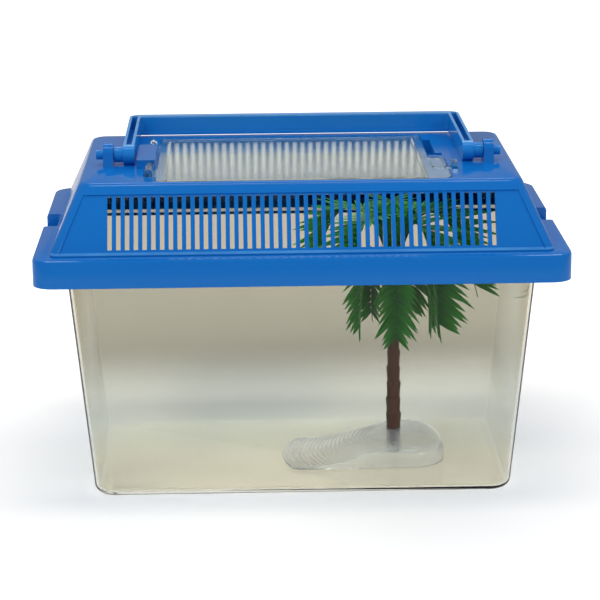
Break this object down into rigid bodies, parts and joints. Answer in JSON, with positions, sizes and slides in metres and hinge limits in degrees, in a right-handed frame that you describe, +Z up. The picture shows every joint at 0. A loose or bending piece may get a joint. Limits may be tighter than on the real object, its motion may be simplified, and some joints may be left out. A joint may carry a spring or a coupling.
{
  "type": "small animal tank",
  "caption": "Clear moulded basin with a vented clip-over lid, folding carry handle, hinged feeding door, and a ramped island with a plastic palm inside.",
  "frame": {"origin": "on the surface it stands on, under the middle of its bounding box", "axes": "+X to the right along the long side, +Y to the back, where the handle's grip lies folded, +Z up"},
  "size_m": [0.3, 0.2, 0.1972],
  "materials": {
    "clear_basin": "clear moulded polystyrene, polished",
    "blue_lid": "glossy opaque blue moulding",
    "clear_door": "clear moulded polystyrene, polished",
    "blue_handle": "glossy opaque blue moulding",
    "clear_island": "clear moulded polystyrene with fine steps",
    "brown_trunk": "satin dark red-brown moulding",
    "green_leaf": "satin soft green moulding"
  },
  "bodies": {
    "tank": {"tank_basin": "clear_basin"},
    "lid": {"lid_shell": "blue_lid"},
    "door": {"feeding_door": "clear_door"},
    "handle": {"carry_handle": "blue_handle"},
    "island": {"island_ramp": "clear_island", "palm_trunk": "brown_trunk", "lower_frond_whorl": "green_leaf", "upper_frond_whorl": "green_leaf", "crown_spike": "brown_trunk"}
  },
  "joints": [
    {"name": "lid_lift", "type": "slide", "parent": "tank", "child": "lid", "axis": [0, 0, 1], "range_m": [0, 0.15]},
    {"name": "door_hinge", "type": "hinge", "parent": "lid", "child": "door", "pos_m": [-0.086, 0, 0.1863], "axis": [0, -1, 0], "range_deg": [0, 90]},
    {"name": "handle_swing", "type": "hinge", "parent": "lid", "child": "handle", "pos_m": [0, -0.0155, 0.19055], "axis": [1, 0, 0], "range_deg": [0, 180]},
    {"name": "island_lift", "type": "slide", "parent": "tank", "child": "island", "axis": [0, 0, 1], "range_m": [0, 0.02]}
  ]
}
